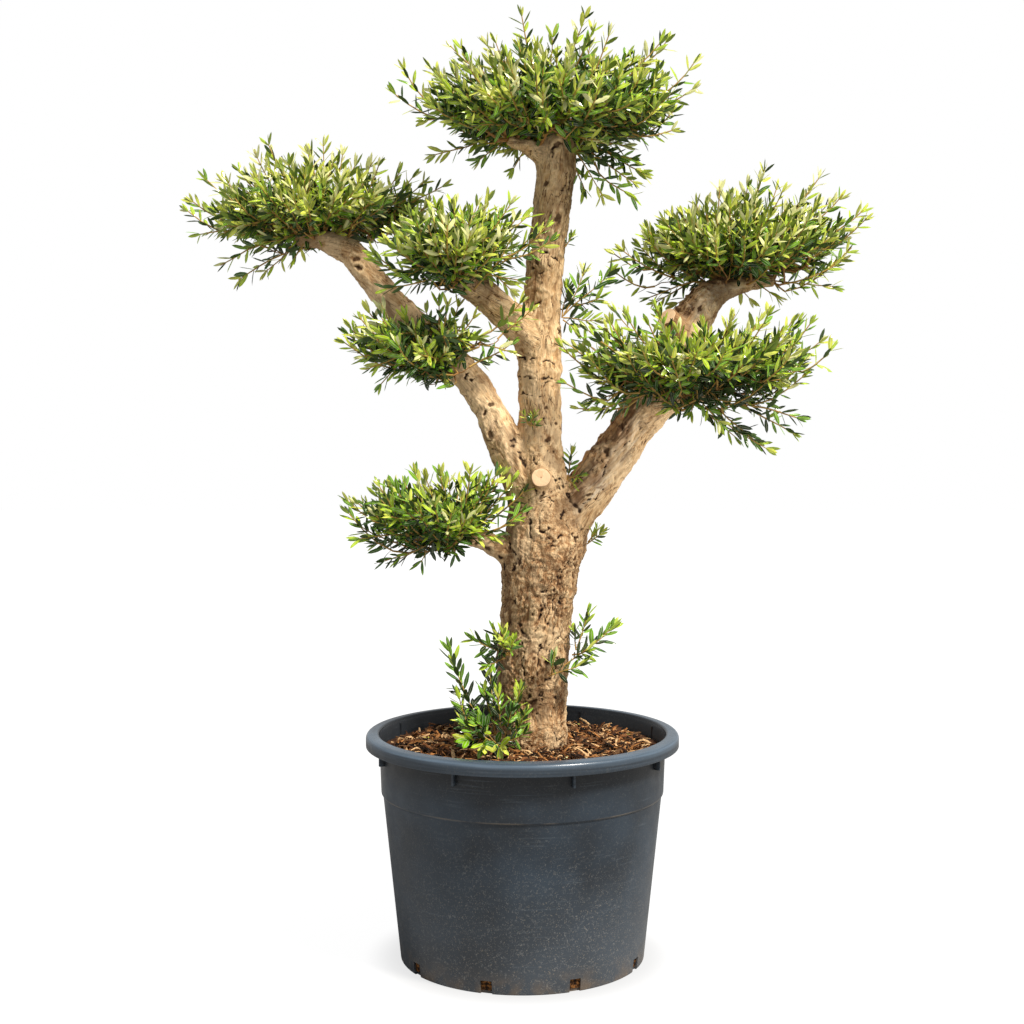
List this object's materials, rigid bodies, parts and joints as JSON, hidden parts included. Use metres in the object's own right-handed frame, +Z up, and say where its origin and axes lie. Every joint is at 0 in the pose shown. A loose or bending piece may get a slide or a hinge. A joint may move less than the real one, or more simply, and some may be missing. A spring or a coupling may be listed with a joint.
{
  "type": "potted olive tree",
  "caption": "Cloud-pruned olive tree with a stout trunk, pale pruning cuts and flat pads of leaves, in a round black nursery pot topped with bark mulch.",
  "frame": {"origin": "centre of the pot's flat underside, on the surface it stands on", "axes": "+Z up along the trunk, the tree's front faces -Y, +X to the right of the front view"},
  "size_m": [1.417, 0.65, 1.941],
  "materials": {
    "pot_plastic": "moulded recycled polypropylene, satin, dusty",
    "potting_soil": "moist dark compost",
    "bark_mulch": "shredded bark chips",
    "olive_bark": "rough fissured bark, smoother and greyer on the boughs",
    "cut_wood": "fresh sawn end grain ringed by bark",
    "olive_leaves": "leathery leaves with paler undersides"
  },
  "bodies": {
    "root": {"pot": "pot_plastic", "root_ball": "potting_soil", "mulch": "bark_mulch", "trunk": "olive_bark", "bough_left_lower": "olive_bark", "bough_left_upper": "olive_bark", "bough_centre": "olive_bark", "bough_right_lower": "olive_bark", "bough_right_upper": "olive_bark", "bough_right_arm": "olive_bark", "bough_low_left": "olive_bark", "bough_top_left": "olive_bark", "stub_front": "cut_wood", "stub_right": "cut_wood", "foliage_top": "olive_leaves", "foliage_left": "olive_leaves", "foliage_centre": "olive_leaves", "foliage_inner_left": "olive_leaves", "foliage_low_left": "olive_leaves", "foliage_right": "olive_leaves", "foliage_inner_right": "olive_leaves", "suckers_foot": "olive_leaves", "sprout_trunk": "olive_leaves", "sprout_leader": "olive_leaves", "sprig_crotch": "olive_leaves", "sprig_butt": "olive_leaves"}
  },
  "joints": []
}
